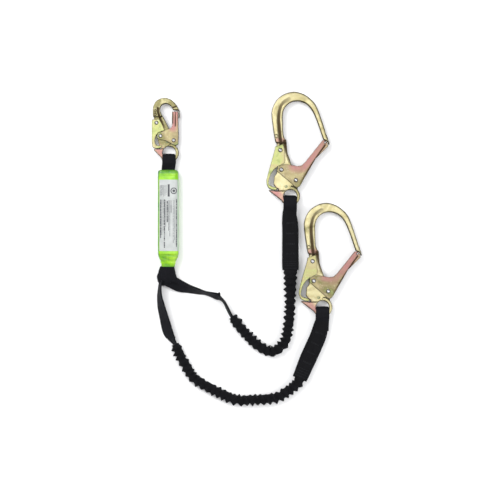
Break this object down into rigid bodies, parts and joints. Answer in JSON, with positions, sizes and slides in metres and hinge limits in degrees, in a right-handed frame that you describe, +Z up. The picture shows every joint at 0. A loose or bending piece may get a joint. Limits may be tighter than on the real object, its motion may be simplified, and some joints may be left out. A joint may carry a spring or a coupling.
{
  "type": "twin leg shock absorbing lanyard",
  "caption": "Twin-leg shock absorbing lanyard: a steel snap hook, a green energy absorber pack, and elastic webbing legs ending in large steel rebar hooks.",
  "frame": {"origin": "centre of the absorber pack's flat underside, on the surface the lanyard lies on", "axes": "+Z up from the surface; +Y along the pack towards the snap hook; +X towards the two rebar hooks"},
  "size_m": [0.4453, 0.6644, 0.0287],
  "materials": {
    "plated_steel": "yellow zinc plating",
    "plated_sheet": "yellow zinc plating on pressed sheet",
    "rivet_steel": "bare steel",
    "spring_steel": "oiled wire",
    "black_webbing": "woven polyester",
    "black_sleeve": "gathered tubular webbing",
    "tear_webbing": "woven tear webbing",
    "elastic_core": "braided elastic",
    "green_cover": "heat-shrunk film",
    "label_film": "printed film"
  },
  "bodies": {
    "root": {"absorber_core": "tear_webbing", "absorber_cover": "green_cover", "absorber_label": "label_film", "absorber_top_strap": "black_webbing", "leg_junction": "black_webbing", "leg_a_strap": "black_webbing", "leg_a_elastic_sleeve": "black_sleeve", "leg_a_elastic_core": "elastic_core", "leg_a_wear_sleeve": "black_sleeve", "leg_a_end_strap": "black_webbing", "leg_b_strap": "black_webbing", "leg_b_elastic_sleeve": "black_sleeve", "leg_b_elastic_core": "elastic_core", "leg_b_wear_sleeve": "black_sleeve", "leg_b_end_strap": "black_webbing"},
    "snap_hook_body": {"snap_hook_frame": "plated_steel", "snap_hook_webbing_loop": "black_webbing", "snap_hook_lever_rivet": "rivet_steel", "snap_hook_gate_rivet": "rivet_steel", "snap_hook_gate_spring": "spring_steel", "snap_hook_lever_spring": "spring_steel"},
    "snap_hook_gate_body": {"snap_hook_gate": "plated_sheet", "snap_hook_gate_stud_front": "rivet_steel", "snap_hook_gate_stud_back": "rivet_steel"},
    "snap_hook_lever_body": {"snap_hook_lock_lever": "plated_sheet"},
    "rebar_hook_a_body": {"rebar_hook_a_frame": "plated_steel", "rebar_hook_a_webbing_loop": "black_webbing", "rebar_hook_a_lever_rivet": "rivet_steel", "rebar_hook_a_gate_rivet": "rivet_steel", "rebar_hook_a_gate_spring": "spring_steel", "rebar_hook_a_lever_spring": "spring_steel"},
    "rebar_hook_a_gate_body": {"rebar_hook_a_gate": "plated_sheet", "rebar_hook_a_gate_stud_front": "rivet_steel", "rebar_hook_a_gate_stud_back": "rivet_steel", "rebar_hook_a_gate_tip_pin": "rivet_steel"},
    "rebar_hook_a_lever_body": {"rebar_hook_a_lock_lever": "plated_sheet"},
    "rebar_hook_b_body": {"rebar_hook_b_frame": "plated_steel", "rebar_hook_b_webbing_loop": "black_webbing", "rebar_hook_b_lever_rivet": "rivet_steel", "rebar_hook_b_gate_rivet": "rivet_steel", "rebar_hook_b_gate_spring": "spring_steel", "rebar_hook_b_lever_spring": "spring_steel"},
    "rebar_hook_b_gate_body": {"rebar_hook_b_gate": "plated_sheet", "rebar_hook_b_gate_stud_front": "rivet_steel", "rebar_hook_b_gate_stud_back": "rivet_steel", "rebar_hook_b_gate_tip_pin": "rivet_steel"},
    "rebar_hook_b_lever_body": {"rebar_hook_b_lock_lever": "plated_sheet"}
  },
  "joints": [
    {"name": "snap_hook_swing", "type": "hinge", "parent": "root", "child": "snap_hook_body", "pos_m": [0.0014, 0.1003, 0.0095], "axis": [1, 0, 0], "range_deg": [-90, 90]},
    {"name": "snap_hook_gate_opens", "type": "hinge", "parent": "snap_hook_body", "child": "snap_hook_gate_body", "pos_m": [0.0114, 0.155, 0.0095], "axis": [0, 0, 1], "range_deg": [0, 18], "stiffness_Nm_per_rad": 0.4},
    {"name": "snap_hook_lever_presses", "type": "hinge", "parent": "snap_hook_body", "child": "snap_hook_lever_body", "pos_m": [-0.0253, 0.1923, 0.0095], "axis": [0, 0, 1], "range_deg": [0, 8], "stiffness_Nm_per_rad": 0.4},
    {"name": "rebar_hook_a_swing", "type": "hinge", "parent": "root", "child": "rebar_hook_a_body", "pos_m": [0.2582, 0.008, 0.011], "axis": [1, 0, 0], "range_deg": [-90, 90]},
    {"name": "rebar_hook_a_gate_opens", "type": "hinge", "parent": "rebar_hook_a_body", "child": "rebar_hook_a_gate_body", "pos_m": [0.2701, 0.0706, 0.011], "axis": [0, 0, 1], "range_deg": [0, 45], "stiffness_Nm_per_rad": 0.4},
    {"name": "rebar_hook_a_lever_presses", "type": "hinge", "parent": "rebar_hook_a_body", "child": "rebar_hook_a_lever_body", "pos_m": [0.2371, 0.1341, 0.011], "axis": [0, 0, 1], "range_deg": [0, 7.5], "stiffness_Nm_per_rad": 0.4},
    {"name": "rebar_hook_b_swing", "type": "hinge", "parent": "root", "child": "rebar_hook_b_body", "pos_m": [0.3267, -0.2273, 0.011], "axis": [1, 0, 0], "range_deg": [-90, 90]},
    {"name": "rebar_hook_b_gate_opens", "type": "hinge", "parent": "rebar_hook_b_body", "child": "rebar_hook_b_gate_body", "pos_m": [0.3386, -0.1647, 0.011], "axis": [0, 0, 1], "range_deg": [0, 45], "stiffness_Nm_per_rad": 0.4},
    {"name": "rebar_hook_b_lever_presses", "type": "hinge", "parent": "rebar_hook_b_body", "child": "rebar_hook_b_lever_body", "pos_m": [0.3056, -0.1012, 0.011], "axis": [0, 0, 1], "range_deg": [0, 7.5], "stiffness_Nm_per_rad": 0.4}
  ]
}
